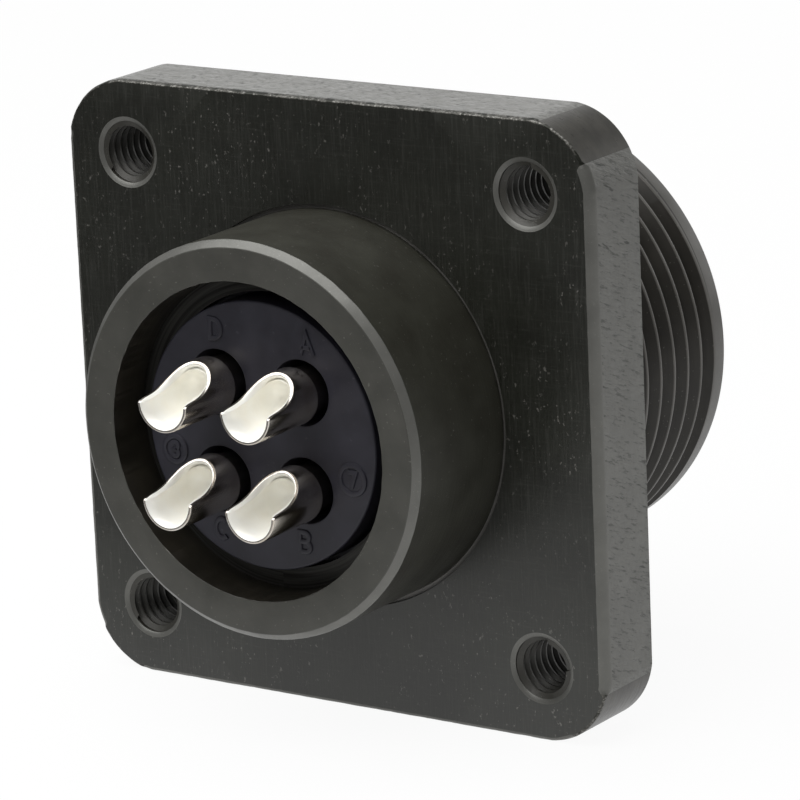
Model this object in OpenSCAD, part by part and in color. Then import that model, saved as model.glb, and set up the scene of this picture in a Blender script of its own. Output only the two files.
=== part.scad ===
// Square-flange circular receptacle with four solder-cup pin contacts.
// The contacts run along Y. The solder cups point to -Y and the coupling thread to +Y.
// The flange stands square, with the polarising key on +Z.
// The origin is the centre of the mounting-hole pattern, halfway through the flange.

/* [Flange] */
// Side of the square flange
flange_w = 30.2; // [29:0.1:34]
// Thickness of the flange
flange_t = 4.2; // [3.6:0.1:5]
// Radius of the flange's corners
corner_r = 3.7; // [2:0.1:4]
// Chamfer round the flange's rear face
flange_chamfer = 0.3; // [0.2:0.1:0.8]
// Spacing of the mounting holes, both ways
hole_pitch = 23; // [22.6:0.1:23.4]
// Diameter of the mounting holes inside their thread
tap_drill = 2.5; // [2:0.1:2.9]
// Diameter of the countersink at each end of a mounting hole
hole_mouth = 3.6; // [3.1:0.1:4]

/* [Rear barrel] */
// Outer diameter of the rear barrel
rear_od = 19.4; // [18.8:0.1:19.8]
// Bore that takes the inserts and the retaining ring
rear_bore = 15.5; // [15:0.1:15.6]
// Length of the rear barrel behind the flange
rear_len = 7.1; // [6:0.1:8]
// Chamfer round the outside of the rear rim
rim_chamfer = 0.35; // [0.1:0.05:0.5]
// Width of the tool relief turned round the barrel's foot
relief_w = 0.25; // [0.1:0.05:0.4]

/* [Coupling barrel] */
// Length of the coupling barrel in front of the flange
coupling_len = 14.4; // [13:0.1:16]
// Outer diameter of the coupling thread
thread_od = 22.2; // [21.6:0.1:22.6]
// Pitch of the coupling thread
thread_pitch = 1.27; // [1:0.01:1.5]
// Width of the plain pilot that centres the barrel in a panel's hole
pilot_w = 1.6; // [1:0.1:2.5]
// Width of the plain land at the mouth
land_w = 1.2; // [0.9:0.1:1.8]
// Chamfer outside the mouth
mouth_chamfer = 0.4; // [0.2:0.1:0.6]
// Bore of the coupling barrel
coupling_bore = 18.4; // [17.6:0.1:18.8]
// Width of the polarising key
key_w = 2.4; // [1.6:0.1:3]
// Height of the polarising key above the bore
key_h = 1.1; // [0.6:0.1:1.4]

/* [Inserts] */
// Diameter of the rear boss that stands through the retaining ring
boss_d = 13.1; // [12.6:0.1:13.2]
// Depth of the boss's face below the rear rim
boss_recess = 1.2; // [0.8:0.1:1.6]
// Diameter of the front insert's nose
nose_d = 13.8; // [13:0.1:13.9]
// Length of the nose in front of the shell's web
nose_len = 0.8; // [0.4:0.1:1.2]

/* [Contacts] */
// Spacing of the contacts, both ways
contact_pitch = 4.75; // [4.6:0.05:5]
// Outer diameter of a solder cup
cup_od = 2.8; // [2.6:0.1:2.9]
// Bore of a solder cup
cup_bore = 2.05; // [1.8:0.05:2.2]
// Length of a solder cup behind the insert's face
cup_out = 4.4; // [4:0.1:5]
// Depth of a solder cup's bore
cup_depth = 3.8; // [3.4:0.1:3.9]
// Radius of the scoop that opens a cup's mouth
scoop_r = 2.9; // [2.4:0.1:3.2]
// Diameter of a contact pin
pin_d = 1.59; // [1.55:0.01:1.6]
// Distance of the pins' tips behind the mouth
pin_recess = 2.8; // [1.5:0.1:4]

/* [Retaining ring] */
// Thickness of the retaining ring
ring_t = 1; // [0.8:0.05:1.1]
// Inner diameter of the retaining ring
ring_id = 13.5; // [13.3:0.1:14]
// Depth of the ring's groove in the bore
groove_depth = 0.4; // [0.3:0.05:0.6]
// Angle of the gap between the ring's ends
ring_gap = 60; // [40:5:90]

/* [Hidden] */
$fn = 96;

// Overshoot of every cutter past the face that it opens
over = 0.5;

// Stations along Y, from the rear rim to the mouth
back_y = -flange_t / 2;
flange_y = flange_t / 2;
rim_y = back_y - rear_len;
boss_y = rim_y + boss_recess;
ring_seat_y = rim_y + 3.5;
ring_back_y = ring_seat_y - ring_t;
joint_y = back_y;
web_t = 1.2;
web_y = flange_y + 0.4;
web_front_y = web_y + web_t;
nose_y = web_front_y + nose_len;
mouth_y = flange_y + coupling_len;

// Thread form: 60 degree flanks, with a crest of an eighth and a root of a quarter of the pitch
crest_w = thread_pitch / 8;
root_w = thread_pitch / 4;
flank_w = (thread_pitch - crest_w - root_w) / 2;
thread_depth = flank_w / tan(30);
thread_r = thread_od / 2;
root_r = thread_r - thread_depth;
thread_start_y = flange_y + pilot_w;
thread_room = coupling_len - pilot_w - land_w - flank_w;
thread_count = floor((thread_room + root_w) / thread_pitch);
pilot_r = thread_r + 0.2;

// Contacts: the collar is held between the two inserts
collar_r = 1.85;
collar_half = 0.6;
cup_r = cup_od / 2;
cup_tip_y = boss_y - cup_out;
cup_back_y = boss_y - 0.4;
neck_r = 1.2;
scoop_floor = 0.1;
scoop_lead = 0.5;
shank_r = 1.25;
pin_r = pin_d / 2;
pin_tip_y = mouth_y - pin_recess;
running_gap = 0.05;
cup_hole_gap = 0.15;

// Radius of the part of each insert that fills the rear bore
insert_r = rear_bore / 2 - running_gap;

// Key that keeps the inserts from turning in the shell
rib_w = 1.6;
rib_reach = 0.8;

// Turns a profile drawn as (radius, station) round the Y axis
module turned(sweep = 360) {
    rotate([-90, 0, 0])
        rotate_extrude(angle = sweep)
            children();
}

// Puts children on the axis of each contact
module at_contacts() {
    for (sx = [-1, 1], sz = [-1, 1])
        translate([sx * contact_pitch / 2, 0, sz * contact_pitch / 2])
            children();
}

// Round bar along Y from one station to another
module round_bar(r, y0, y1) {
    translate([0, y0, 0])
        rotate([-90, 0, 0])
            cylinder(r = r, h = y1 - y0);
}

// ---------------------------------------------------------------- shell

// Profile across the flange, with its rear edges chamfered
module flange_section(half_w) {
    polygon([
        [0, back_y],
        [half_w - flange_chamfer, back_y],
        [half_w, back_y + flange_chamfer],
        [half_w, flange_y],
        [0, flange_y]
    ]);
}

// Square plate with round corners, chamfered all round its rear face
module flange_plate() {
    corner = flange_w / 2 - corner_r;
    for (sx = [-1, 1], sz = [-1, 1])
        translate([sx * corner, 0, sz * corner])
            turned()
                flange_section(corner_r);
    for (turn = [0, 90, 180, 270])
        rotate([0, turn, 0])
            translate([0, 0, -corner])
                linear_extrude(2 * corner)
                    flange_section(flange_w / 2);
}

// Outline of the coupling thread from its first root to its last
function thread_outline() = [
    for (i = [0 : thread_count - 1])
        let (y = thread_start_y + i * thread_pitch)
            each [
                [root_r, y],
                [thread_r, y + flank_w],
                [thread_r, y + flank_w + crest_w],
                [root_r, y + 2 * flank_w + crest_w]
            ]
];

// Section through one side of the shell's turned body
module body_section() {
    land_y = mouth_y - land_w;
    groove_r = rear_bore / 2 + groove_depth;
    polygon(concat(
        [
            [rear_bore / 2, rim_y],
            [rear_od / 2 - rim_chamfer, rim_y],
            [rear_od / 2, rim_y + rim_chamfer],
            [rear_od / 2, flange_y - over],
            [pilot_r, flange_y - over],
            [pilot_r, thread_start_y]
        ],
        thread_outline(),
        [
            [root_r, land_y - flank_w],
            [thread_r, land_y],
            [thread_r, mouth_y - mouth_chamfer],
            [thread_r - mouth_chamfer, mouth_y],
            [coupling_bore / 2 + mouth_chamfer, mouth_y],
            [coupling_bore / 2, mouth_y - mouth_chamfer],
            [coupling_bore / 2, web_front_y],
            [nose_d / 2 + running_gap, web_front_y],
            [nose_d / 2 + running_gap, web_y],
            [rear_bore / 2, web_y],
            [rear_bore / 2, ring_seat_y],
            [groove_r, ring_seat_y],
            [groove_r, ring_back_y],
            [rear_bore / 2, ring_back_y]
        ]
    ));
}

// Tapped mounting hole with a countersink at each end
module mounting_hole() {
    sink = (hole_mouth - tap_drill) / 2;
    round_bar(tap_drill / 2, back_y - over, flange_y + over);
    for (side = [0, 1])
        mirror([0, side, 0])
            turned()
                polygon([
                    [0, flange_y + over],
                    [hole_mouth / 2 + over, flange_y + over],
                    [tap_drill / 2, flange_y - sink],
                    [0, flange_y - sink]
                ]);
}

// Shallow ring turned into the flange round the barrel's foot
module foot_relief() {
    turned()
        translate([rear_od / 2, back_y - over])
            square([relief_w, over + relief_w]);
}

module shell() {
    key_y0 = web_front_y - over;
    key_y1 = mouth_y - 2.2;
    color([0.25, 0.25, 0.22]) {
        difference() {
            flange_plate();
            round_bar((rear_bore + rear_od) / 4, back_y - over, flange_y + over);
            foot_relief();
            for (sx = [-1, 1], sz = [-1, 1])
                translate([sx * hole_pitch / 2, 0, sz * hole_pitch / 2])
                    mounting_hole();
        }
        turned()
            body_section();
        // Polarising key inside the coupling barrel
        translate([-key_w / 2, key_y0, coupling_bore / 2 - key_h])
            cube([key_w, key_y1 - key_y0, key_h + over]);
        // Rib that stands in the front insert's slot
        translate([-rib_w / 2, web_y, nose_d / 2 - rib_reach])
            cube([rib_w, web_t, rib_reach + over]);
    }
}

// ---------------------------------------------------------------- inserts

module rear_insert() {
    edge = 0.2;
    color([0.17, 0.17, 0.21])
        difference() {
            turned()
                polygon([
                    [0, boss_y],
                    [boss_d / 2 - edge, boss_y],
                    [boss_d / 2, boss_y + edge],
                    [boss_d / 2, ring_seat_y],
                    [insert_r, ring_seat_y],
                    [insert_r, joint_y],
                    [0, joint_y]
                ]);
            at_contacts() {
                round_bar(cup_r + cup_hole_gap, boss_y - over, joint_y + over);
                round_bar(collar_r + running_gap, joint_y - collar_half, joint_y + over);
            }
        }
}

module front_insert() {
    edge = 0.2;
    slot_w = rib_w + 4 * running_gap;
    slot_floor = nose_d / 2 - rib_reach - 2 * running_gap;
    color([0.17, 0.17, 0.21])
        difference() {
            turned()
                polygon([
                    [0, joint_y],
                    [insert_r, joint_y],
                    [insert_r, web_y],
                    [nose_d / 2, web_y],
                    [nose_d / 2, nose_y - edge],
                    [nose_d / 2 - edge, nose_y],
                    [0, nose_y]
                ]);
            at_contacts() {
                round_bar(collar_r + running_gap, joint_y - over, joint_y + collar_half);
                round_bar(shank_r + running_gap, joint_y, nose_y + over);
            }
            translate([-slot_w / 2, web_y, slot_floor])
                cube([slot_w, nose_y - web_y + over, rib_reach + over]);
        }
}

// ---------------------------------------------------------------- contacts

// Side view of the cutter that opens a cup's mouth upwards, drawn as (station, height)
module scoop_outline() {
    translate([cup_tip_y + scoop_lead, scoop_floor + scoop_r])
        circle(r = scoop_r);
    translate([cup_tip_y - over, scoop_floor])
        square([scoop_lead + over, 2 * scoop_r]);
}

// Pin contact turned from bar, with a drilled and scooped solder cup behind
module contact() {
    cup_floor_y = cup_tip_y + cup_depth;
    color([0.85, 0.8, 0.68])
        difference() {
            union() {
                round_bar(cup_r, cup_tip_y, cup_back_y);
                round_bar(neck_r, cup_back_y - over, joint_y);
                round_bar(collar_r, joint_y - collar_half, joint_y + collar_half);
                round_bar(shank_r, joint_y, nose_y);
                round_bar(pin_r, joint_y, pin_tip_y - pin_r);
                translate([0, pin_tip_y - pin_r, 0])
                    sphere(r = pin_r);
            }
            round_bar(cup_bore / 2, cup_tip_y - over, cup_floor_y - cup_bore / 2);
            translate([0, cup_floor_y - cup_bore / 2, 0])
                sphere(r = cup_bore / 2);
            rotate([90, 0, 90])
                linear_extrude(2 * cup_od, center = true)
                    scoop_outline();
        }
}

// A contact in its place: side is -1 or 1 along X, level is -1 or 1 along Z
module contact_at(side, level) {
    translate([side * contact_pitch / 2, 0, level * contact_pitch / 2])
        contact();
}

module contact_a() {
    contact_at(1, 1);
}

module contact_b() {
    contact_at(1, -1);
}

module contact_c() {
    contact_at(-1, -1);
}

module contact_d() {
    contact_at(-1, 1);
}

// ---------------------------------------------------------------- retaining ring

// C-shaped ring sprung into the bore's groove. Its gap runs from the top towards +X.
module retaining_ring() {
    outer_r = rear_bore / 2 + groove_depth - running_gap;
    color([0.3, 0.3, 0.29])
        rotate([0, ring_gap - 90, 0])
            turned(360 - ring_gap)
                translate([ring_id / 2, ring_back_y])
                    square([outer_r - ring_id / 2, ring_t]);
}

shell();
rear_insert();
front_insert();
retaining_ring();
contact_a();
contact_b();
contact_c();
contact_d();
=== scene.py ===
"""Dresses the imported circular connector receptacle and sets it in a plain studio."""
import math

import bmesh
import bpy
from mathutils import Matrix, Vector, noise
from mathutils.geometry import delaunay_2d_cdt

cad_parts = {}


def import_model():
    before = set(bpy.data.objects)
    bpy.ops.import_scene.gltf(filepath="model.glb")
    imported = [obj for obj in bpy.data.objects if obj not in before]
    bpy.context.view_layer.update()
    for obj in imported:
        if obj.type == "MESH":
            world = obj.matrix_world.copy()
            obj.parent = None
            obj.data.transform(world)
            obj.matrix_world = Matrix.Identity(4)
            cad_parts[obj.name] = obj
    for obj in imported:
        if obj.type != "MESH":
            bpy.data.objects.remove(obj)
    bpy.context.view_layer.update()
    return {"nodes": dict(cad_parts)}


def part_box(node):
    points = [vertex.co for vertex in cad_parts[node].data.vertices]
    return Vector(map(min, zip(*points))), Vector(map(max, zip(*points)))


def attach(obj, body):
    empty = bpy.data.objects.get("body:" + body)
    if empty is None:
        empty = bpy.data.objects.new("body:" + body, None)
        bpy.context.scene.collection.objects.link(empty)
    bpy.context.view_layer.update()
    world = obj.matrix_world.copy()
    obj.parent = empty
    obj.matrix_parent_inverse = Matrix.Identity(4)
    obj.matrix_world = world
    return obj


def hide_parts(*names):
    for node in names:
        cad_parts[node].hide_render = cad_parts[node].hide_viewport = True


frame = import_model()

# All lengths below are millimetres in the shared frame, and MM turns them into metres
MM = 0.001
TAU = 2 * math.pi


def corners_of(node):
    """The lowest and highest corner of a CAD node, in millimetres."""
    low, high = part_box(node)
    return [v / MM for v in low], [v / MM for v in high]


# Stations and radii that the frame gives
shell_low, shell_high = corners_of("shell")
rear_low, rear_high = corners_of("rear_insert")
_, front_high = corners_of("front_insert")
ring_low, ring_high = corners_of("retaining_ring")
contact_low, contact_high = corners_of("contact_a")

FLANGE_HALF = shell_high[0]
RIM_Y = shell_low[1]
MOUTH_Y = shell_high[1]
FLANGE_FRONT = 2.1
FLANGE_BACK = -FLANGE_FRONT
BOSS_Y = rear_low[1]
JOINT_Y = rear_high[1]
RING_BACK = ring_low[1]
RING_SEAT = ring_high[1]
NOSE_Y = front_high[1]
CUP_TIP_Y = contact_low[1]
PIN_TIP_Y = contact_high[1]

# Shell
BARREL_R = 9.7
BORE_R = 7.75
GROOVE_R = 8.15
RIM_CHAMFER = 0.35
RELIEF = 0.25
PILOT_R = 11.3
PILOT_END = 3.7
THREAD_R = 11.1
THREAD_PITCH = 1.27
# Station of one crest on the right side, as the photo shows it
CREST_AT_RIGHT = 13.95
LAND_START = MOUTH_Y - 1.2
MOUTH_CHAMFER = 0.4
COUPLING_R = 9.2
WEB_BACK = 2.5
WEB_FRONT = 3.7
WEB_R = 6.95
HOLE_AT = 11.5
HOLE_MOUTH_R = 1.74
HOLE_MINOR_R = 1.28
HOLE_MAJOR_R = 1.54
HOLE_PITCH = 0.5

# Key inside the coupling barrel, and rib in the front insert's slot
KEY_HALF = 1.2
KEY_H = 1.1
KEY_END = MOUTH_Y - 2.2
RIB_HALF = 0.8
RIB_FOOT = 6.1

# Contacts
CONTACT_AT = 2.375
CUP_R = 1.4
CUP_BORE_R = 1.025
CUP_FLOOR = CUP_TIP_Y + 3.8
CUP_BACK = BOSS_Y - 0.4
NECK_R = 1.2
COLLAR_R = 1.85
COLLAR_HALF = 0.6
SHANK_R = 1.25
PIN_R = 0.795
SCOOP_R = 2.9
SCOOP_FLOOR = 0.1
SCOOP_LEAD = 0.5
RIM_WEAR = 0.01

# Rear insert, and the holes in it for the cups and the collars
BOSS_R = 6.55
INSERT_R = 7.7
CUP_HOLE_R = 1.6
COLLAR_HOLE_R = 1.9

COLUMNS = 288
SHARP = math.radians(24)


# ---------------------------------------------------------------- meshes

class Skin:
    """Points and faces of one closed mesh. Points at one place become one point."""

    def __init__(self):
        self.points = []
        self.index = {}
        self.faces = []
        self.slots = []

    def point(self, p):
        key = tuple(round(v, 5) for v in p)
        if key not in self.index:
            self.index[key] = len(self.points)
            self.points.append(p)
        return self.index[key]

    def face(self, corners, slot):
        """Adds a face, leaving out corners that fall together."""
        ids = []
        for p in corners:
            i = self.point(p)
            if i not in ids:
                ids.append(i)
        if len(ids) > 2:
            self.faces.append(ids)
            self.slots.append(slot)

    def loft(self, loops, slots):
        """Joins closed loops of equal length. slots is one slot, one a band, or one a face of each band."""
        for k in range(len(loops) - 1):
            a, b = loops[k], loops[k + 1]
            band = slots if isinstance(slots, int) else slots[k]
            for i in range(len(a)):
                j = (i + 1) % len(a)
                self.face((a[i], a[j], b[j], b[i]), band if isinstance(band, int) else band[i])

    def sheet(self, loops, slot):
        """Fills the flat area inside the first loop and outside the others. All run clockwise."""
        points = []
        regions = []
        for loop in loops:
            points += loop
            regions.append([len(points) - 1 - i for i in range(len(loop))])
        flat = [Vector((p[0], p[2])) for p in points]
        _, _, faces, origins, _, within = delaunay_2d_cdt(flat, [], regions, 1, 1e-6)
        for triangle, inside in zip(faces, within):
            if inside == [0]:
                self.face([points[origins[i][0]] for i in triangle], slot)

    def mesh(self, name, materials):
        mesh = bpy.data.meshes.new(name)
        mesh.from_pydata([[v * MM for v in p] for p in self.points], [], self.faces)
        for polygon, slot in zip(mesh.polygons, self.slots):
            polygon.material_index = slot
        for m in materials:
            mesh.materials.append(m)
        bm = bmesh.new()
        bm.from_mesh(mesh)
        bmesh.ops.recalc_face_normals(bm, faces=bm.faces)
        bm.to_mesh(mesh)
        bm.free()
        return mesh

    def build(self, name, materials):
        return dress(self.mesh(name, materials), name)


def joined(mesh, additions):
    """One closed mesh from a mesh and others that overlap it."""
    body = bpy.data.objects.new("body", mesh)
    bpy.context.scene.collection.objects.link(body)
    helpers = []
    for addition in additions:
        helper = bpy.data.objects.new("addition", addition)
        bpy.context.scene.collection.objects.link(helper)
        helpers.append(helper)
        union = body.modifiers.new("union", "BOOLEAN")
        union.operation = "UNION"
        union.solver = "MANIFOLD"
        union.object = helper
    depsgraph = bpy.context.evaluated_depsgraph_get()
    result = bpy.data.meshes.new_from_object(body.evaluated_get(depsgraph))
    for obj in [body] + helpers:
        bpy.data.objects.remove(obj)
    return result


def dress(mesh, name):
    """Smooth-shades a mesh between its sharp edges and puts it in the scene."""
    bm = bmesh.new()
    bm.from_mesh(mesh)
    for e in bm.edges:
        e.smooth = len(e.link_faces) == 2 and e.calc_face_angle(0) < SHARP
    for f in bm.faces:
        f.smooth = True
    bm.to_mesh(mesh)
    bm.free()
    piece = bpy.data.objects.new(name, mesh)
    bpy.context.scene.collection.objects.link(piece)
    soft = piece.modifiers.new("soft_normals", "WEIGHTED_NORMAL")
    soft.keep_sharp = True
    return piece


def circle(radius, y, at=(0, 0), columns=COLUMNS):
    """Loop of points round the Y direction, from the top towards +X."""
    turns = [TAU * i / columns for i in range(columns)]
    return [(at[0] + radius * math.sin(t), y, at[1] + radius * math.cos(t)) for t in turns]


def rounded(corners, steps=3):
    """Profile through corners given as (radius, station, rounding)."""
    profile = []
    for k, (r, y, rounding) in enumerate(corners):
        here = Vector((r, y))
        if not rounding:
            profile.append((r, y))
            continue
        back = (Vector(corners[k - 1][:2]) - here).normalized()
        on = (Vector(corners[k + 1][:2]) - here).normalized()
        for s in range(steps + 1):
            t = s / steps
            p = here + back * rounding * (1 - t) ** 2 + on * rounding * t ** 2
            profile.append((p.x, p.y))
    return profile


def nicked(loop, amount, grain, seed):
    """A loop whose points wander a little in its own plane, as a worn edge does."""
    out = []
    for x, y, z in loop:
        d = noise.noise(Vector((x, z, seed)) * grain) * amount
        length = math.hypot(x, z)
        out.append((x * (1 + d / length), y, z * (1 + d / length)))
    return out


def thread_wall(skin, at, y0, y1, ends, pitch, section, start, columns, slots, fade=0.0):
    """Right-handed helical wall between two plain circles.

    ends are the radii of those circles, and section is one pitch as (share of the pitch, radius).
    slots are the materials of the section's crest and of the rest. On the coupling thread the crest takes a painted
    highlight and the rest painted shade.
    """
    turns_needed = math.ceil((y1 - y0) / pitch) + 2
    first = y0 - pitch + (start - y0) % pitch - pitch

    def column(c):
        turn = TAU * c / columns
        points = []
        for n in range(turns_needed + 1):
            for share, radius in section:
                y = first + (n + share + c / columns) * pitch
                if y <= y0:
                    y, r = y0, ends[0]
                elif y >= y1:
                    y, r = y1, ends[1]
                else:
                    r = radius
                    near = min(1.0, (y1 - y) / fade) if fade else 1.0
                    r = ends[1] + (r - ends[1]) * near * near * (3 - 2 * near)
                points.append((at[0] + r * math.sin(turn), y, at[1] + r * math.cos(turn)))
        return points

    made = [column(c) for c in range(columns + 1)]
    for a, b in zip(made, made[1:]):
        for k in range(len(a) - 1):
            slot = slots[0] if k % len(section) < len(section) - 3 else slots[1]
            skin.face((a[k], b[k], b[k + 1], a[k + 1]), slot)


# ---------------------------------------------------------------- shell

FACE, SIDE, CORNER, TURNED, RIM, BORE, THREAD, CREST, LAND, EDGE, BEVEL, TAPPED = range(12)
SIDE_STEPS = 110
ARC_STEPS = 32
FLANGE_CORNER = 3.7
KINK = math.radians(7)
# Width and depth of the flange's rear bevel, along its top, right, bottom and left side
BEVEL_WIDTH = (0.14, 0.42, 0.2, 0.26)
BEVEL_DEPTH = (0.3, 0.5, 0.25, 0.3)
# The milled part of each corner's arc, with a narrow edge of its own
MILLED = (0.1, 0.72)
MILLED_BEVEL = 0.11


def flange_outline(insets, depths, y, wander=0.0, seed=0):
    """Outline of the flange. insets and depths are given for the top, right, bottom and left side and the corners."""
    centre = FLANGE_HALF - FLANGE_CORNER * math.cos(KINK)
    end = centre + FLANGE_CORNER * math.sin(KINK)
    quarter = [(-end + 2 * end * i / SIDE_STEPS, FLANGE_HALF, 0, 1, 0.0) for i in range(1, SIDE_STEPS)]
    for i in range(ARC_STEPS + 1):
        share = i / ARC_STEPS
        turn = KINK + (math.pi / 2 - 2 * KINK) * share
        nx, nz = math.sin(turn), math.cos(turn)
        quarter.append((centre + FLANGE_CORNER * nx, centre + FLANGE_CORNER * nz, nx, nz, share))
    loop = []
    for side in range(4):
        following = (side + 1) % 4
        for x, z, nx, nz, share in quarter:
            for _ in range(side):
                x, z, nx, nz = z, -x, nz, -nx
            place = Vector((x, z, seed))
            worn = wander * max(0.0, 0.6 + noise.noise(place * 1.7) + 0.7 * noise.noise(place * 7))
            before = min(1.0, max(0.0, (MILLED[0] + 0.02 - share) / 0.05))
            after = min(1.0, max(0.0, (share - MILLED[1] + 0.02) / 0.05))
            inset = insets[side] * before + insets[following] * after + insets[4] * (1 - before - after) + worn
            depth = depths[side] * before + depths[following] * after + depths[4] * (1 - before - after)
            loop.append((x - nx * inset, y + depth, z - nz * inset))
    return loop


def flange_loops():
    """Loops of the flange's rim, from the rear face to the front face, and the slots of its bands."""
    loops = []
    steps = 6
    for k in range(steps + 1):
        a = math.pi / 2 * k / steps
        insets = [w * (1 - math.sin(a)) for w in BEVEL_WIDTH + (MILLED_BEVEL,)]
        depths = [d * (1 - math.cos(a)) for d in BEVEL_DEPTH + (MILLED_BEVEL,)]
        loops.append(flange_outline(insets, depths, FLANGE_BACK, 0.014 if k < steps else 0.003, 0.2 * k))
    none = (0,) * 5
    loops.append(flange_outline(none, none, FLANGE_FRONT - 0.08, 0.003, 3.0))
    loops.append(flange_outline([0.07] * 5, none, FLANGE_FRONT, 0.008, 4.0))

    def band(on_sides, on_corner):
        slots = []
        for side in range(4):
            following = on_sides[(side + 1) % 4]
            slots += [on_sides[side]] * (SIDE_STEPS - 1)
            for k in range(ARC_STEPS):
                share = (k + 0.5) / ARC_STEPS
                slots.append(on_sides[side] if share < MILLED[0] else on_corner if share < MILLED[1] else following)
            slots.append(following)
        return slots

    # The rear bevel is EDGE along the top and at the corners, pale from wear and a painted highlight, and BEVEL,
    # painted light, on the other sides
    slots = [band((EDGE, BEVEL, BEVEL, BEVEL), EDGE)] * steps
    slots += [band((SIDE,) * 4, CORNER), band((EDGE,) * 4, EDGE)]
    return loops, slots


def body_slot(r, y):
    """Finish of the turned body at a place on its profile."""
    if y > FLANGE_BACK and r > COUPLING_R + 0.2:
        return LAND
    if r < BORE_R + 0.5 and y > RIM_Y + 0.05 or y > WEB_BACK - 0.1:
        return BORE
    if y < RIM_Y + 0.03 and r < BARREL_R - RIM_CHAMFER + 0.02:
        return RIM
    # The rim's chamfer takes the bevel's painted light
    if y < RIM_Y + RIM_CHAMFER + 0.02:
        return BEVEL
    return TURNED


def body_loops():
    """Loops of the turned body, from the rear face round both bores to the start of the thread."""
    profile = rounded([
        (BARREL_R + RELIEF, FLANGE_BACK, 0),
        (BARREL_R + RELIEF, FLANGE_BACK + RELIEF, 0.05),
        (BARREL_R, FLANGE_BACK + RELIEF, 0.05),
        (BARREL_R, RIM_Y + RIM_CHAMFER, 0.05),
        (BARREL_R - RIM_CHAMFER, RIM_Y, 0.04),
        (BORE_R, RIM_Y, 0.05),
        (BORE_R, RING_BACK, 0.03),
        (GROOVE_R, RING_BACK, 0),
        (GROOVE_R, RING_SEAT, 0),
        (BORE_R, RING_SEAT, 0.03),
        (BORE_R, WEB_BACK, 0),
        (WEB_R, WEB_BACK, 0),
        (WEB_R, WEB_FRONT, 0.04),
        (COUPLING_R, WEB_FRONT, 0.15),
        (COUPLING_R, MOUTH_Y - MOUTH_CHAMFER, 0.05),
        (COUPLING_R + MOUTH_CHAMFER, MOUTH_Y, 0.05),
        (THREAD_R - MOUTH_CHAMFER, MOUTH_Y, 0.05),
        (THREAD_R, MOUTH_Y - MOUTH_CHAMFER, 0.05),
        (THREAD_R, LAND_START, 0),
    ])
    loops = []
    slots = []
    for k, (r, y) in enumerate(profile):
        loop = circle(r, y)
        at_edge = abs(y - RIM_Y) < 0.06 or abs(y - RIM_Y - RIM_CHAMFER) < 0.06
        if at_edge:
            loop = nicked(loop, 0.022 if r < BORE_R + 0.1 else 0.012, 2.2, k * 0.3)
        loops.append(loop)
        if k:
            slots.append(body_slot((r + profile[k - 1][0]) / 2, (y + profile[k - 1][1]) / 2))
    return loops, slots


def shell_skin():
    skin = Skin()
    rim_loops, rim_slots = flange_loops()
    skin.loft(rim_loops, rim_slots)
    loops, slots = body_loops()
    skin.loft(loops, slots)
    # Coupling thread, between the land at the mouth and the pilot. Its crests carry a painted highlight and its grooves
    # painted shade.
    crest = THREAD_PITCH / 6
    root = THREAD_PITCH / 4
    flank = (THREAD_PITCH - crest - root) / 2
    root_r = THREAD_R - flank / math.tan(math.radians(30))
    section = [(0.0, THREAD_R - 0.04), (0.03, THREAD_R - 0.01), (0.07, THREAD_R)]
    section += [((crest - 0.09) / THREAD_PITCH, THREAD_R), ((crest - 0.04) / THREAD_PITCH, THREAD_R - 0.01)]
    section += [(crest / THREAD_PITCH, THREAD_R - 0.04)]
    section += [((crest + flank) / THREAD_PITCH, root_r), ((crest + flank + root) / THREAD_PITCH, root_r)]
    thread_wall(skin, (0, 0), PILOT_END, LAND_START, (root_r, THREAD_R), THREAD_PITCH, section,
                CREST_AT_RIGHT - crest / 2 - THREAD_PITCH / 4, COLUMNS, (CREST, THREAD), fade=0.45)
    pilot = [(root_r, PILOT_END), (PILOT_R - 0.1, PILOT_END), (PILOT_R, PILOT_END - 0.1), (PILOT_R, FLANGE_FRONT)]
    pilot_loops = [circle(r, y) for r, y in pilot]
    skin.loft(pilot_loops, TURNED)
    # Tapped holes
    rear_mouths = []
    front_mouths = []
    for x in (-HOLE_AT, HOLE_AT):
        for z in (-HOLE_AT, HOLE_AT):
            rear, front = tapped_hole(skin, (x, z))
            rear_mouths.append(rear)
            front_mouths.append(front)
    skin.sheet([rim_loops[0], loops[0]] + rear_mouths, FACE)
    skin.sheet([rim_loops[-1], pilot_loops[-1]] + front_mouths, FACE)
    return skin


def bar(half, foot, top, y0, y1, soft):
    """Bar along Y on the +Z side, with its lower edges and its far end softened."""
    skin = Skin()

    def section(y, inset):
        low = foot + inset
        side = half - inset
        arc = [(side - soft + soft * math.sin(a), low + soft - soft * math.cos(a))
               for a in [math.pi / 2 * k / 6 for k in range(7)]]
        outline = arc + [(side, top)] + [(-x, z) for x, z in reversed(arc + [(side, top)])]
        return [(x, y, z) for x, z in outline]

    loops = [section(y0, 0)]
    for k in range(5):
        a = math.pi / 2 * k / 4
        loops.append(section(y1 - soft + soft * math.sin(a), soft * (1 - math.cos(a))))
    skin.loft(loops, BORE)
    skin.face(loops[0], BORE)
    skin.face(loops[-1], BORE)
    return skin


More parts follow.
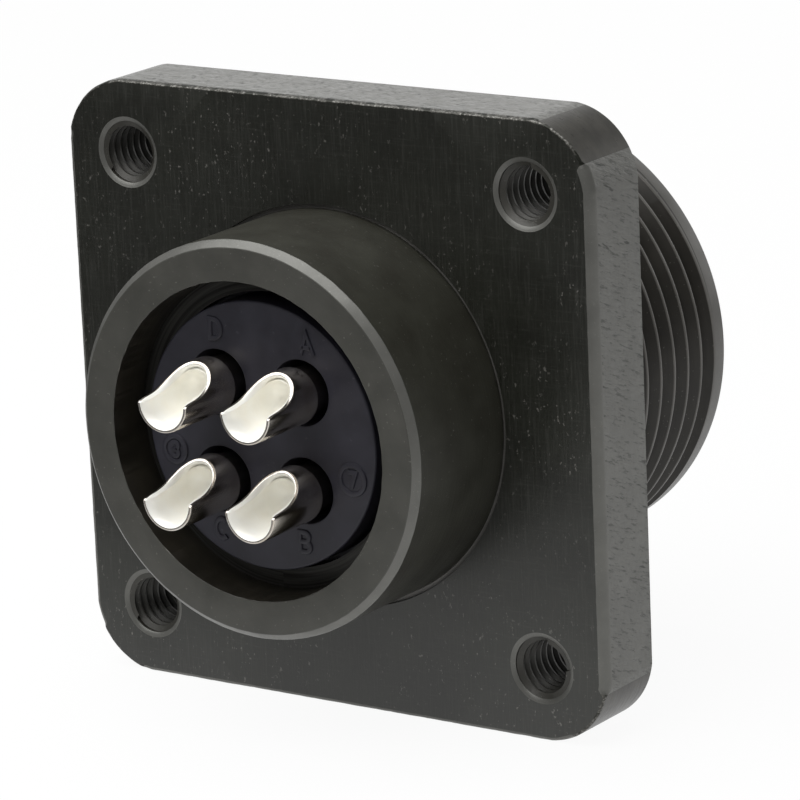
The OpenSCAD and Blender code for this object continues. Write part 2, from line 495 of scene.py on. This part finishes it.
def tapped_hole(skin, at):
    """One M3 hole through the flange. Returns the loops of its two mouths."""
    columns = 96
    sink = 0.6 * (HOLE_MOUTH_R - HOLE_MAJOR_R)
    wall_back = FLANGE_BACK + sink
    wall_front = FLANGE_FRONT - sink
    rear = [circle(HOLE_MOUTH_R + 0.03, FLANGE_BACK, at, columns),
            circle(HOLE_MOUTH_R - 0.03, FLANGE_BACK + 0.03, at, columns),
            circle(HOLE_MAJOR_R + 0.03, wall_back - 0.03, at, columns),
            circle(HOLE_MAJOR_R, wall_back, at, columns)]
    front = [circle(HOLE_MAJOR_R, wall_front, at, columns), circle(HOLE_MOUTH_R, FLANGE_FRONT, at, columns)]
    # The countersinks take the bevel's painted light
    skin.loft(rear, BEVEL)
    skin.loft(front, BEVEL)
    section = [(0.0, HOLE_MAJOR_R), (0.12, HOLE_MAJOR_R), (0.45, HOLE_MINOR_R), (0.66, HOLE_MINOR_R)]
    # The groove at the major radius takes the thread's painted shade
    thread_wall(skin, at, wall_back, wall_front, (HOLE_MAJOR_R, HOLE_MAJOR_R), HOLE_PITCH, section,
                wall_back + 0.1 * at[0], columns, (THREAD, TAPPED))
    return rear[0], front[-1]


# ---------------------------------------------------------------- inserts and contacts

# The insert's face lies back by the height of the marks moulded on it
MARK_H = 0.09
INSERT_FACE = BOSS_Y + MARK_H
CONTACTS = {"contact_a": (1, 1), "contact_b": (1, -1), "contact_c": (-1, -1), "contact_d": (-1, 1)}


def rear_insert_skin():
    skin = Skin()
    outer = rounded([
        (6.4, INSERT_FACE, 0),
        (BOSS_R, INSERT_FACE, 0.14),
        (BOSS_R, RING_SEAT, 0),
        (INSERT_R, RING_SEAT, 0),
        (INSERT_R, JOINT_Y, 0),
    ])
    outer_loops = [circle(r, y, columns=192) for r, y in outer]
    skin.loft(outer_loops, 0)
    rears = []
    fronts = []
    for side, level in CONTACTS.values():
        at = (side * CONTACT_AT, level * CONTACT_AT)
        hole = rounded([
            (1.7, INSERT_FACE, 0),
            (CUP_HOLE_R, INSERT_FACE, 0.06),
            (CUP_HOLE_R, JOINT_Y - COLLAR_HALF, 0),
            (COLLAR_HOLE_R, JOINT_Y - COLLAR_HALF, 0),
            (COLLAR_HOLE_R, JOINT_Y, 0),
        ])
        loops = [circle(r, y, at, 72) for r, y in hole]
        skin.loft(loops, 0)
        rears.append(loops[0])
        fronts.append(loops[-1])
    skin.sheet([outer_loops[0]] + rears, 0)
    skin.sheet([outer_loops[-1]] + fronts, 0)
    return skin


def arc_path(cx, cz, radius, start, end, steps=14, squeeze=1.0):
    """Points round a centre, from one angle to another. Degrees, from +X towards +Z."""
    path = []
    for k in range(steps + 1):
        a = math.radians(start + (end - start) * k / steps)
        path.append((cx + radius * squeeze * math.cos(a), cz + radius * math.sin(a)))
    return path


# Strokes of each mark in a square one unit high, as (points, closed)
GLYPHS = {
    "A": [([(-0.36, -0.5), (0.0, 0.5), (0.36, -0.5)], False), ([(-0.24, -0.16), (0.24, -0.16)], False)],
    "B": [([(-0.3, -0.5), (-0.3, 0.5)] + arc_path(0.02, 0.26, 0.24, 90, -90, 8) + [(-0.24, 0.02)], False),
          (arc_path(0.06, -0.24, 0.26, 60, -90, 8) + [(-0.24, -0.5)], False)],
    "C": [(arc_path(0, 0, 0.5, 50, 310, 18, 0.8), False)],
    "D": [([(-0.3, -0.5), (-0.3, 0.5)] + arc_path(-0.1, 0, 0.5, 90, -90, 12, 0.9), True)],
    "three": [(arc_path(0, 0.25, 0.25, 150, -90, 10) + arc_path(0, -0.25, 0.25, 90, -150, 10)[1:], False)],
    "seven": [([(-0.28, 0.48), (0.28, 0.48), (-0.08, -0.5)], False)],
    "ring": [(arc_path(0, 0, 0.5, 0, 350, 35), True)],
}

# Marks moulded on the insert's rear face, as (glyph, x, z, height)
MARKS = [
    ("D", -2.38, 4.97, 0.95), ("A", 2.88, 4.77, 1.0), ("C", -2.55, -4.85, 0.95), ("B", 2.26, -4.9, 0.95),
    ("three", -5.1, -1.24, 0.7), ("ring", -5.1, -1.24, 1.25), ("seven", 5.15, -1.49, 0.75), ("ring", 5.15, -1.49, 1.4),
]
STROKE_HALF = 0.11


def stroke_loops(path, closed):
    """Sections of a raised stroke along a path, sunk into the insert's face."""
    count = len(path)
    loops = []
    for k in range(count):
        here = Vector(path[k])
        before = Vector(path[k - 1]) if closed or k else None
        after = Vector(path[(k + 1) % count]) if closed or k < count - 1 else None
        into = (here - before).normalized() if before else (after - here).normalized()
        out = (after - here).normalized() if after else into
        along = (into + out).normalized()
        across = Vector((-along.y, along.x)) / max(0.5, along.dot(into))
        section = [(1.25, 0.06), (1.25, 0.0), (0.95, -0.8 * MARK_H), (0.6, -0.97 * MARK_H)]
        section += [(-w, lift) for w, lift in reversed(section)]
        loops.append([
            (here.x + across.x * w * STROKE_HALF, INSERT_FACE + lift, here.y + across.y * w * STROKE_HALF)
            for w, lift in section])
    return loops


def marks_skin():
    skin = Skin()
    for glyph, x, z, height in MARKS:
        for path, closed in GLYPHS[glyph]:
            loops = stroke_loops([(x + u * height, z + v * height) for u, v in path], closed)
            if closed:
                skin.loft(loops + [loops[0]], 0)
            else:
                skin.loft(loops, 0)
                skin.face(loops[0], 0)
                skin.face(loops[-1], 0)
    return skin


def scoop_station(height):
    """Where the scoop's surface crosses a height above the contact's axis."""
    rise = height - SCOOP_FLOOR
    if rise <= 0:
        return CUP_TIP_Y + SCOOP_LEAD * max(0.0, 1 + rise / 0.12)
    return CUP_TIP_Y + SCOOP_LEAD + math.sqrt(max(0.0, SCOOP_R ** 2 - (SCOOP_R - rise) ** 2))


def contact_skin(at, seed):
    """Pin contact with its scooped solder cup. Row by row from the cup's floor over its rim to the pin's tip."""
    columns = 120
    turns = [TAU * i / columns for i in range(columns)]
    skin = Skin()

    def plain(r, y):
        return circle(r, y, at, columns)

    def wall(radius, back, share=1.0, start=None):
        """Loop on a wall at its own distance in front of the scooped rim."""
        return [(at[0] + radius * math.sin(t), scoop_station(radius * math.cos(t)) + back, at[1] + radius * math.cos(t))
                for t in turns]

    inside = []
    for k in range(9):
        a = math.pi / 2 * k / 8
        inside.append(plain(CUP_BORE_R * math.sin(a), CUP_FLOOR - CUP_BORE_R * (1 - math.cos(a))))
    # Rim as (share of the wall's thickness, distance from the scooped surface). The mouth is flared inside.
    edge = 0.06
    rim = [(0.0, 8.0), (0.15, 5.2), (0.32, 2.8), (0.48, 1.2), (0.58, 0.5), (0.64, 0.12), (0.7, 0.0), (0.8, 0.0),
           (0.9, 0.12), (0.96, 0.4), (1.0, 1.0)]
    rim_loops = []
    for share, lift in rim:
        radius = CUP_BORE_R + (CUP_R - CUP_BORE_R) * share
        loop = []
        for t in turns:
            inner = scoop_station(CUP_BORE_R * math.cos(t)) * (1 - share)
            outer = scoop_station(CUP_R * math.cos(t)) * share
            worn = RIM_WEAR * abs(noise.noise(Vector((math.sin(t) * 3, share, math.cos(t) * 3 + seed))))
            y = inner + outer + lift * edge + worn
            loop.append((at[0] + radius * math.sin(t), y, at[1] + radius * math.cos(t)))
        rim_loops.append(loop)
    outside = rounded([
        (CUP_R, CUP_BACK - 0.3, 0),
        (CUP_R, CUP_BACK, 0.08),
        (NECK_R, CUP_BACK, 0),
        (NECK_R, JOINT_Y - COLLAR_HALF, 0),
        (COLLAR_R, JOINT_Y - COLLAR_HALF, 0.05),
        (COLLAR_R, JOINT_Y + COLLAR_HALF, 0.05),
        (SHANK_R, JOINT_Y + COLLAR_HALF, 0),
        (SHANK_R, NOSE_Y, 0.06),
        (PIN_R, NOSE_Y, 0),
        (PIN_R, PIN_TIP_Y - PIN_R, 0),
    ])
    outside_loops = [plain(r, y) for r, y in outside]
    tip = []
    for k in range(1, 9):
        a = math.pi / 2 * k / 8
        tip.append(plain(PIN_R * math.cos(a), PIN_TIP_Y - PIN_R + PIN_R * math.sin(a)))
    loops = inside + rim_loops + outside_loops + tip
    # Slot 1, the painted reflection, covers the cup's inside and the inner part of its rim; slot 0 is the plated metal
    skin.loft(loops, [1 if k < len(inside) + 5 else 0 for k in range(len(loops) - 1)])
    return skin


# ---------------------------------------------------------------- materials

class Graph:
    """A procedural material, put together from a few kinds of node."""

    def __init__(self, name, colour, roughness, metallic, specular=0.5):
        self.material = bpy.data.materials.new(name)
        self.material.use_nodes = True
        self.nodes = self.material.node_tree.nodes
        self.links = self.material.node_tree.links
        self.shader = self.nodes["Principled BSDF"]
        self.shader.inputs["Base Color"].default_value = (*colour, 1)
        self.shader.inputs["Roughness"].default_value = roughness
        self.shader.inputs["Metallic"].default_value = metallic
        self.shader.inputs["Specular IOR Level"].default_value = specular
        coords = self.nodes.new("ShaderNodeTexCoord")
        self.place = self.vector("MULTIPLY", coords.outputs["Object"], (1 / MM,) * 3)

    def put(self, socket, value):
        """Links a value to a socket, or sets it there."""
        if hasattr(value, "is_linked"):
            self.links.new(value, socket)
        elif isinstance(value, tuple) and socket.type == "RGBA":
            socket.default_value = (*value, 1)
        else:
            socket.default_value = value

    def vector(self, operation, a, b):
        node = self.nodes.new("ShaderNodeVectorMath")
        node.operation = operation
        self.put(node.inputs[0], a)
        self.put(node.inputs[1], b)
        return node.outputs["Vector"]

    def math(self, operation, a, b=0.5, c=0.5):
        node = self.nodes.new("ShaderNodeMath")
        node.operation = operation
        for socket, value in zip(node.inputs, (a, b, c)):
            self.put(socket, value)
        return node.outputs[0]

    def noise(self, stretch, detail=3.0, roughness=0.55, where=None):
        """Noise between 0 and 1. stretch is its frequency along each axis, per millimetre."""
        node = self.nodes.new("ShaderNodeTexNoise")
        node.inputs["Scale"].default_value = 1.0
        node.inputs["Detail"].default_value = detail
        node.inputs["Roughness"].default_value = roughness
        self.put(node.inputs["Vector"], self.vector("MULTIPLY", where or self.place, stretch))
        return node.outputs["Fac"]

    def ramp(self, value, low, high, to_low=0.0, to_high=1.0):
        """Maps a value from one span to another, and stops at its ends."""
        node = self.nodes.new("ShaderNodeMapRange")
        self.put(node.inputs["Value"], value)
        for name, v in (("From Min", low), ("From Max", high), ("To Min", to_low), ("To Max", to_high)):
            self.put(node.inputs[name], v)
        return node.outputs["Result"]

    def mix(self, share, a, b):
        node = self.nodes.new("ShaderNodeMix")
        node.data_type = "RGBA"
        self.put(node.inputs["Factor"], share)
        self.put(node.inputs[6], a)
        self.put(node.inputs[7], b)
        return node.outputs[2]

    def round_place(self):
        """Place as (distance from the Y axis, station, angle)."""
        split = self.nodes.new("ShaderNodeSeparateXYZ")
        self.put(split.inputs[0], self.place)
        x, y, z = split.outputs
        r = self.math("SQRT", self.math("ADD", self.math("MULTIPLY", x, x), self.math("MULTIPLY", z, z)))
        turn = self.math("ARCTAN2", x, z)
        join = self.nodes.new("ShaderNodeCombineXYZ")
        self.put(join.inputs[0], r)
        self.put(join.inputs[1], y)
        self.put(join.inputs[2], turn)
        return join.outputs[0]

    def bump(self, height, depth, strength=1.0, onto=None):
        """Bumps the surface by height, which is 1 at depth millimetres."""
        node = self.nodes.new("ShaderNodeBump")
        node.inputs["Strength"].default_value = strength
        node.inputs["Distance"].default_value = depth * MM
        self.put(node.inputs["Height"], height)
        if onto:
            self.put(node.inputs["Normal"], onto)
        return node.outputs["Normal"]

    def finish(self, colour=None, roughness=None, normal=None):
        for name, value in (("Base Color", colour), ("Roughness", roughness), ("Normal", normal)):
            if value is not None:
                self.put(self.shader.inputs[name], value)
        return self.material


OLIVE = (0.0175, 0.0185, 0.0135)
OLIVE_DARK = (0.0115, 0.012, 0.0085)
OLIVE_LIGHT = (0.078, 0.078, 0.068)
OLIVE_WORN = (0.16, 0.155, 0.14)
SHELL_METAL = 0.2


def flat_face_finish():
    """Ground and coated flat: faint crossed scratches, dust flecks and a little mottling."""
    g = Graph("shell_face", OLIVE, 0.32, SHELL_METAL, 0.8)
    mottle = g.noise((0.22, 0.22, 0.3), 4)
    upright = g.noise((11.0, 2.0, 0.5), 4, 0.7)
    level = g.noise((0.5, 2.0, 9.0), 4, 0.7)
    patches = g.noise((0.25, 0.25, 0.25), 2)
    flecks = g.noise((6.0, 6.0, 4.0), 3, 0.6)
    base = g.mix(g.ramp(mottle, 0.35, 0.65), OLIVE_DARK, OLIVE)
    base = g.mix(g.ramp(upright, 0.5, 0.75, 0, 0.3), base, OLIVE_LIGHT)
    base = g.mix(g.ramp(level, 0.55, 0.78, 0, 0.25), base, OLIVE_LIGHT)
    dust = g.math("MULTIPLY", g.ramp(flecks, 0.64, 0.7), g.ramp(patches, 0.42, 0.62, 0.1, 0.8))
    base = g.mix(dust, base, OLIVE_WORN)
    rough = g.ramp(upright, 0.3, 0.7, 0.27, 0.4)
    normal = g.bump(upright, 0.006, 0.6)
    normal = g.bump(level, 0.004, 0.5, normal)
    normal = g.bump(flecks, 0.012, 0.35, normal)
    return g.finish(base, rough, normal)


def painted_light_side_finish():
    """Sawn sides of the flange: marks slant across the thickness. Their light grey ground is painted light; the coating
    is the same dark olive as on the face.
    """
    g = Graph("shell_side_painted_light", OLIVE_LIGHT, 0.4, SHELL_METAL)
    slant = g.nodes.new("ShaderNodeMapping")
    slant.inputs["Rotation"].default_value = (math.radians(24), 0, math.radians(-24))
    g.put(slant.inputs["Vector"], g.place)
    saw = g.noise((3.2, 0.25, 6.5), 4, 0.65, slant.outputs[0])
    cuts = g.noise((1.6, 0.16, 3.6), 2, 0.5, slant.outputs[0])
    pits = g.noise((2.2, 6.0, 3.4), 3, 0.6)
    mottle = g.noise((0.4, 0.6, 0.4), 3)
    # Painted light: the lit grey ground of the sides, laid on the same coating as the face
    base = g.mix(g.ramp(mottle, 0.3, 0.7), (0.12, 0.12, 0.11), (0.145, 0.145, 0.133))
    base = g.mix(g.ramp(saw, 0.46, 0.34, 0, 0.65), base, OLIVE)
    base = g.mix(g.ramp(cuts, 0.33, 0.27, 0, 0.8), base, OLIVE_DARK)
    rough = g.ramp(pits, 0.3, 0.7, 0.34, 0.5)
    normal = g.bump(saw, 0.06, 0.6)
    normal = g.bump(cuts, 0.08, 0.5, normal)
    normal = g.bump(pits, 0.01, 0.4, normal)
    return g.finish(base, rough, normal)


def corner_finish():
    """Milled corners: smoother than the sawn sides, darker as they lack the sides' painted light, with marks along the
    arc.
    """
    g = Graph("shell_corner", OLIVE_DARK, 0.3, SHELL_METAL)
    marks = g.noise((1.0, 9.0, 1.0), 3, 0.6)
    mottle = g.noise((1.1, 1.1, 1.1), 4)
    base = g.mix(g.ramp(mottle, 0.35, 0.65), (0.021, 0.019, 0.014), (0.040, 0.037, 0.029))
    return g.finish(base, g.ramp(marks, 0.3, 0.7, 0.26, 0.42), g.bump(marks, 0.008, 0.5))


def turned_finish(name, dark, light, roughness, depth, metal=SHELL_METAL):
    """Turned surface: fine rings of uneven strength, with a few specks."""
    g = Graph(name, light, roughness, metal)
    place = g.round_place()
    rings = g.noise((10.0, 10.0, 0.5), 4, 0.75, place)
    fine = g.noise((26.0, 26.0, 1.2), 2, 0.6, place)
    mottle = g.noise((0.5, 0.5, 0.5), 3)
    specks = g.noise((7.0, 7.0, 7.0), 2, 0.5)
    base = g.mix(g.ramp(mottle, 0.3, 0.7), dark, light)
    base = g.mix(g.ramp(rings, 0.45, 0.25, 0, 0.5), base, dark)
    base = g.mix(g.ramp(specks, 0.7, 0.74, 0, 0.6), base, OLIVE_WORN)
    rough = g.ramp(fine, 0.3, 0.7, roughness - 0.06, roughness + 0.08)
    normal = g.bump(rings, depth, 0.6)
    normal = g.bump(fine, depth * 0.4, 0.4, normal)
    return g.finish(base, rough, normal)


def worn_and_highlight_edge_finish():
    """Sharp edges, where the coating is broken here and there. Their pale colour is partly that wear and partly a
    painted highlight.
    """
    g = Graph("shell_edge_worn_and_painted_highlight", OLIVE_LIGHT, 0.36, 0.55)
    wear = g.noise((9.0, 9.0, 9.0), 4, 0.65)
    nicks = g.noise((1.4, 1.4, 1.4), 3, 0.6)
    # Partly worn coating and partly a painted highlight: the pale tone along the edges
    base = g.mix(g.ramp(wear, 0.45, 0.65), (0.05, 0.049, 0.042), (0.2, 0.195, 0.18))
    base = g.mix(g.ramp(nicks, 0.5, 0.42), base, OLIVE)
    rough = g.ramp(wear, 0.3, 0.7, 0.45, 0.32)
    return g.finish(base, rough, g.bump(wear, 0.02, 0.5))


def painted_light_bevel_finish():
    """Softened edges: coated as the sides are, and a little worn. Their light grey ground is painted light, as on the
    sides; the worn flecks are real.
    """
    g = Graph("shell_bevel_painted_light", OLIVE_LIGHT, 0.38, 0.45)
    wear = g.noise((9.0, 9.0, 9.0), 4, 0.7)
    mottle = g.noise((0.6, 0.6, 0.6), 3)
    # Painted light: the lit grey ground of the bevels, the countersinks and the rim's chamfer
    base = g.mix(g.ramp(mottle, 0.3, 0.7), (0.12, 0.12, 0.11), (0.15, 0.149, 0.137))
    base = g.mix(g.ramp(wear, 0.62, 0.72, 0, 0.6), base, (0.24, 0.235, 0.215))
    return g.finish(base, g.ramp(wear, 0.3, 0.7, 0.42, 0.34), g.bump(wear, 0.008, 0.4))


def bore_finish():
    g = Graph("shell_bore", OLIVE_DARK, 0.4, SHELL_METAL)
    place = g.round_place()
    rings = g.noise((9.0, 9.0, 0.4), 3, 0.6, place)
    mottle = g.noise((0.6, 0.6, 0.6), 3)
    base = g.mix(g.ramp(mottle, 0.3, 0.7), (0.016, 0.014, 0.010), (0.030, 0.026, 0.019))
    return g.finish(base, g.ramp(rings, 0.3, 0.7, 0.35, 0.5), g.bump(rings, 0.01, 0.5))


def insert_finish(name, dark, light):
    """Moulded plastic: even, with a faint flow pattern and dust."""
    g = Graph(name, light, 0.42, 0.0, 0.45)
    flow = g.noise((0.5, 0.5, 0.5), 4, 0.6)
    grain = g.noise((14.0, 14.0, 14.0), 2)
    dust = g.noise((4.0, 4.0, 4.0), 3, 0.6)
    base = g.mix(g.ramp(flow, 0.3, 0.7), dark, light)
    base = g.mix(g.ramp(dust, 0.68, 0.76, 0, 0.35), base, (0.11, 0.11, 0.125))
    rough = g.ramp(flow, 0.3, 0.7, 0.36, 0.5)
    return g.finish(base, rough, g.bump(grain, 0.005, 0.5))


def ring_finish():
    g = Graph("ring_steel", (0.05, 0.05, 0.046), 0.4, 0.6)
    place = g.round_place()
    marks = g.noise((8.0, 8.0, 1.0), 3, 0.6, place)
    base = g.mix(g.ramp(marks, 0.35, 0.65), (0.018, 0.017, 0.015), (0.07, 0.068, 0.062))
    return g.finish(base, g.ramp(marks, 0.3, 0.7, 0.3, 0.5), g.bump(marks, 0.01, 0.5))


def painted_reflection_cup_finish():
    """Inside of the solder cups: bright and pale, with a trace of yellow. The near-white is a painted reflection of the
    lamp above, laid on the same silver plating as the outside.
    """
    g = Graph("contact_cup_painted_reflection", (0.97, 0.955, 0.88), 0.35, 0.2)
    cloud = g.noise((1.0, 1.0, 1.0), 4, 0.6)
    grain = g.noise((7.0, 7.0, 7.0), 2, 0.5)
    # Painted reflection: the near-white of the cups' insides
    base = g.mix(g.ramp(cloud, 0.35, 0.7), (0.985, 0.975, 0.92), (0.965, 0.94, 0.86))
    return g.finish(base, g.ramp(grain, 0.3, 0.7, 0.3, 0.45), g.bump(grain, 0.01, 0.4))


def contact_finish():
    """Silver-plated brass, satin, slightly tarnished."""
    g = Graph("contact_silver", (0.8, 0.76, 0.7), 0.26, 1.0)
    tarnish = g.noise((0.8, 0.5, 0.8), 4, 0.6)
    marks = g.noise((12.0, 0.6, 12.0), 3, 0.6)
    base = g.mix(g.ramp(tarnish, 0.35, 0.7), (0.78, 0.74, 0.69), (0.56, 0.5, 0.43))
    rough = g.ramp(marks, 0.3, 0.7, 0.18, 0.26)
    return g.finish(base, rough, g.bump(tarnish, 0.004, 0.3))


# ---------------------------------------------------------------- pieces

shell_materials = [
    flat_face_finish(),
    painted_light_side_finish(),
    corner_finish(),
    turned_finish("shell_turned", (0.026, 0.025, 0.018), (0.042, 0.042, 0.032), 0.42, 0.014),
    turned_finish("shell_rim", (0.05, 0.05, 0.043), (0.072, 0.071, 0.062), 0.42, 0.012),
    bore_finish(),
    # Painted shade: the thread's grooves, darker than the turned body of the same coating
    turned_finish("shell_thread_painted_shade", (0.014, 0.012, 0.009), (0.026, 0.023, 0.018), 0.36, 0.006),
    # Painted highlight: the thread's crests, lighter than the turned body of the same coating
    turned_finish("shell_crest_painted_highlight", (0.07, 0.066, 0.058), (0.11, 0.105, 0.095), 0.4, 0.004),
    turned_finish("shell_land", (0.075, 0.072, 0.065), (0.12, 0.116, 0.107), 0.36, 0.006),
    worn_and_highlight_edge_finish(),
    painted_light_bevel_finish(),
    turned_finish("shell_tapped", (0.028, 0.027, 0.022), (0.05, 0.048, 0.041), 0.4, 0.008),
]
insert_material = insert_finish("insert_plastic", (0.016, 0.0155, 0.022), (0.028, 0.027, 0.038))
contact_material = contact_finish()
cup_painted_reflection_material = painted_reflection_cup_finish()

key = bar(KEY_HALF, COUPLING_R - KEY_H, COUPLING_R + 0.5, WEB_FRONT - 0.4, KEY_END, 0.15)
rib = bar(RIB_HALF, RIB_FOOT, WEB_R + 0.5, WEB_BACK + 0.02, WEB_FRONT - 0.02, 0.02)
additions = [part.mesh("addition", shell_materials) for part in (key, rib)]
shell_mesh = joined(shell_skin().mesh("receptacle_shell", shell_materials), additions)
shell_piece = dress(shell_mesh, "receptacle_shell")
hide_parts("shell")
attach(shell_piece, "root")

rear_piece = rear_insert_skin().build("rear_insert_body", [insert_material])
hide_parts("rear_insert")
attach(rear_piece, "root")

marks_piece = marks_skin().build("insert_marks", [insert_material])
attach(marks_piece, "root")

for number, (node, (side, level)) in enumerate(CONTACTS.items()):
    skin = contact_skin((side * CONTACT_AT, level * CONTACT_AT), number * 7.0)
    piece = skin.build(node + "_turned", [contact_material, cup_painted_reflection_material])
    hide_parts(node)
    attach(piece, "root")

for node, material in (("front_insert", insert_material), ("retaining_ring", ring_finish())):
    cad = frame["nodes"][node]
    cad.data.materials.clear()
    cad.data.materials.append(material)


# ---------------------------------------------------------------- stage

FLOOR_Z = shell_low[2]
PALE = (0.86, 0.86, 0.86)
FLOOR_GLOW = 0.94
POOL_AT = (45, 40, FLOOR_Z)
POOL_R = (60, 135)
POOL_DIM = 0.04


def floor():
    size = 3000
    mesh = bpy.data.meshes.new("floor")
    corners = [(-size, -size), (size, -size), (size, size), (-size, size)]
    mesh.from_pydata([(x * MM, y * MM, FLOOR_Z * MM) for x, y in corners], [], [(0, 1, 2, 3)])
    material = bpy.data.materials.new("floor_pale")
    material.use_nodes = True
    nodes = material.node_tree.nodes
    links = material.node_tree.links
    nodes.clear()
    path = nodes.new("ShaderNodeLightPath")
    diffuse = nodes.new("ShaderNodeBsdfDiffuse")
    diffuse.inputs["Color"].default_value = (*PALE, 1)
    glow = nodes.new("ShaderNodeEmission")
    glow.inputs["Color"].default_value = (1, 1, 1, 1)
    # The pool of light on the table, which glossy surfaces show
    coords = nodes.new("ShaderNodeTexCoord")
    from_pool = nodes.new("ShaderNodeVectorMath")
    from_pool.operation = "DISTANCE"
    from_pool.inputs[1].default_value = [v * MM for v in POOL_AT]
    pool = nodes.new("ShaderNodeMapRange")
    pool.interpolation_type = "SMOOTHSTEP"
    for name, v in zip(("From Min", "From Max", "To Min", "To Max"), (POOL_R[0] * MM, POOL_R[1] * MM, 1.0, POOL_DIM)):
        pool.inputs[name].default_value = v
    level = nodes.new("ShaderNodeMix")
    level.inputs["A"].default_value = 1.0
    either = nodes.new("ShaderNodeMath")
    either.operation = "MAXIMUM"
    seen = nodes.new("ShaderNodeMath")
    seen.operation = "MAXIMUM"
    share = nodes.new("ShaderNodeMath")
    share.operation = "MULTIPLY"
    share.inputs[1].default_value = FLOOR_GLOW
    mix = nodes.new("ShaderNodeMixShader")
    out = nodes.new("ShaderNodeOutputMaterial")
    links.new(coords.outputs["Object"], from_pool.inputs[0])
    links.new(from_pool.outputs["Value"], pool.inputs["Value"])
    links.new(path.outputs["Is Glossy Ray"], level.inputs["Factor"])
    links.new(pool.outputs["Result"], level.inputs["B"])
    links.new(level.outputs["Result"], glow.inputs["Strength"])
    links.new(path.outputs["Is Camera Ray"], either.inputs[0])
    links.new(path.outputs["Is Transmission Ray"], either.inputs[1])
    links.new(either.outputs[0], seen.inputs[0])
    links.new(path.outputs["Is Glossy Ray"], seen.inputs[1])
    links.new(seen.outputs[0], share.inputs[0])
    links.new(share.outputs[0], mix.inputs[0])
    links.new(diffuse.outputs[0], mix.inputs[1])
    links.new(glow.outputs[0], mix.inputs[2])
    links.new(mix.outputs[0], out.inputs["Surface"])
    mesh.materials.append(material)
    piece = bpy.data.objects.new("floor", mesh)
    bpy.context.scene.collection.objects.link(piece)


def aim(obj, place, target, roll=0.0):
    """Puts a lamp or camera at a place, looking at a target. Millimetres."""
    place = Vector(place) * MM
    toward = Vector(target) * MM - place
    turn = toward.to_track_quat("-Z", "Y").to_matrix() @ Matrix.Rotation(roll, 3, "Z")
    obj.matrix_world = Matrix.Translation(place) @ turn.to_4x4()


def softbox(name, place, target, width, height, radiance):
    """Rectangular lamp whose face has a given radiance."""
    lamp = bpy.data.lights.new(name, "AREA")
    lamp.shape = "RECTANGLE"
    lamp.size = width * MM
    lamp.size_y = height * MM
    lamp.energy = radiance * math.pi * width * height * MM * MM
    obj = bpy.data.objects.new(name, lamp)
    bpy.context.scene.collection.objects.link(obj)
    aim(obj, place, target)


def world(strength):
    w = bpy.data.worlds.new("studio")
    bpy.context.scene.world = w
    w.use_nodes = True
    nodes = w.node_tree.nodes
    links = w.node_tree.links
    back = nodes["Background"]
    path = nodes.new("ShaderNodeLightPath")
    level = nodes.new("ShaderNodeMapRange")
    links.new(path.outputs["Is Camera Ray"], level.inputs["Value"])
    level.inputs["To Min"].default_value = strength
    level.inputs["To Max"].default_value = 1.0
    back.inputs["Color"].default_value = (1, 1, 1, 1)
    links.new(level.outputs[0], back.inputs["Strength"])


def camera():
    data = bpy.data.cameras.new("view")
    data.sensor_width = 36
    data.lens = 224.52
    data.clip_start = 0.01
    data.clip_end = 10
    obj = bpy.data.objects.new("view", data)
    bpy.context.scene.collection.objects.link(obj)
    right = Vector((0.82740, 0.56010, -0.04106))
    down = Vector((0.11229, -0.23662, -0.96509))
    forward = Vector((-0.55027, 0.79391, -0.25867))
    turn = Matrix((right, -down, -forward)).transposed()
    obj.matrix_world = Matrix.Translation(Vector((134.5, -190.38, 62.15)) * MM) @ turn.to_4x4()
    bpy.context.scene.camera = obj


floor()
world(0.25)
softbox("key_above", (-50, -80, 230), (0, -10, 0), 340, 300, 3.0)
softbox("back_panel", (-60, 300, 76), (0, 0, 0), 700, 180, 1.2)
camera()

bpy.context.scene.view_settings.view_transform = "Standard"
